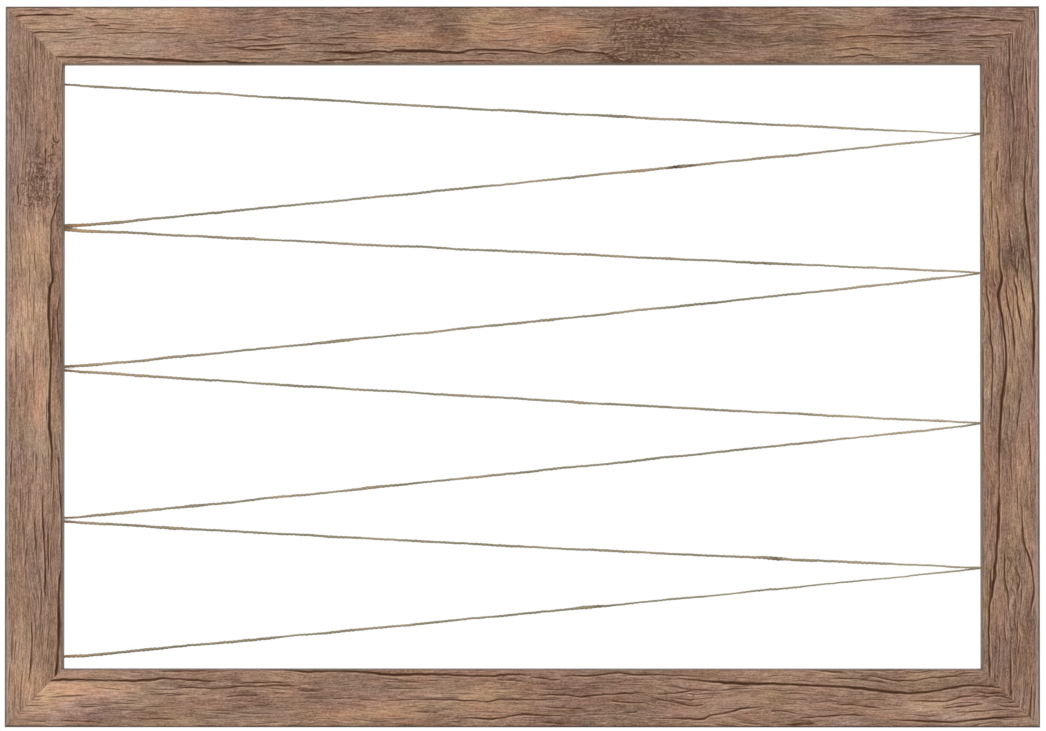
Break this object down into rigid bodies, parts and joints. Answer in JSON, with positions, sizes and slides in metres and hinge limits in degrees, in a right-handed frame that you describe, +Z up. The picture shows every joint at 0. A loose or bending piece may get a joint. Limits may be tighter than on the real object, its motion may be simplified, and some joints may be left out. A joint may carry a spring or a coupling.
{
  "type": "photo clip frame",
  "caption": "Flat rustic wall frame, open at front and back, with jute twine laced to and fro across its opening to clip photos to, and hanging rings behind.",
  "frame": {"origin": "centre of the overall box: the middle of the opening, half way between the front face and the wall plane that the bumpers and hangers touch", "axes": "+X to the right seen from the front, +Y from the front towards the wall, +Z up as the frame hangs"},
  "size_m": [0.66, 0.0228, 0.46],
  "materials": {
    "barn_wood_foil": "satin, printed wood grain over moulded fibreboard",
    "jute_twine": "twisted two-ply jute, matt, with loose fibres",
    "staple_steel": "galvanised wire, satin",
    "v_nail_steel": "plain sheet steel, cut edges",
    "zinc_plated_steel": "bright zinc plate",
    "bumper_rubber": "matt"
  },
  "bodies": {
    "frame": {"top_rail": "barn_wood_foil", "bottom_rail": "barn_wood_foil", "left_stile": "barn_wood_foil", "right_stile": "barn_wood_foil", "v_nail_lower_left_1": "v_nail_steel", "v_nail_lower_left_2": "v_nail_steel", "v_nail_lower_right_1": "v_nail_steel", "v_nail_lower_right_2": "v_nail_steel", "v_nail_upper_right_1": "v_nail_steel", "v_nail_upper_right_2": "v_nail_steel", "v_nail_upper_left_1": "v_nail_steel", "v_nail_upper_left_2": "v_nail_steel", "staple_left_1": "staple_steel", "staple_left_2": "staple_steel", "staple_left_3": "staple_steel", "staple_left_4": "staple_steel", "staple_left_5": "staple_steel", "staple_right_1": "staple_steel", "staple_right_2": "staple_steel", "staple_right_3": "staple_steel", "staple_right_4": "staple_steel", "twine": "jute_twine", "upper_knot": "jute_twine", "lower_knot": "jute_twine", "left_hanger_strip": "zinc_plated_steel", "left_hanger_screw": "zinc_plated_steel", "left_bumper": "bumper_rubber", "right_hanger_strip": "zinc_plated_steel", "right_hanger_screw": "zinc_plated_steel", "right_bumper": "bumper_rubber"},
    "left_ring": {"left_hanger_ring": "zinc_plated_steel"},
    "right_ring": {"right_hanger_ring": "zinc_plated_steel"}
  },
  "joints": [
    {"name": "left_ring_hinge", "type": "hinge", "parent": "frame", "child": "left_ring", "pos_m": [-0.3155, 0.00965, 0.18], "axis": [1, 0, 0], "range_deg": [0, 170]},
    {"name": "right_ring_hinge", "type": "hinge", "parent": "frame", "child": "right_ring", "pos_m": [0.3155, 0.00965, 0.18], "axis": [1, 0, 0], "range_deg": [0, 170]}
  ]
}
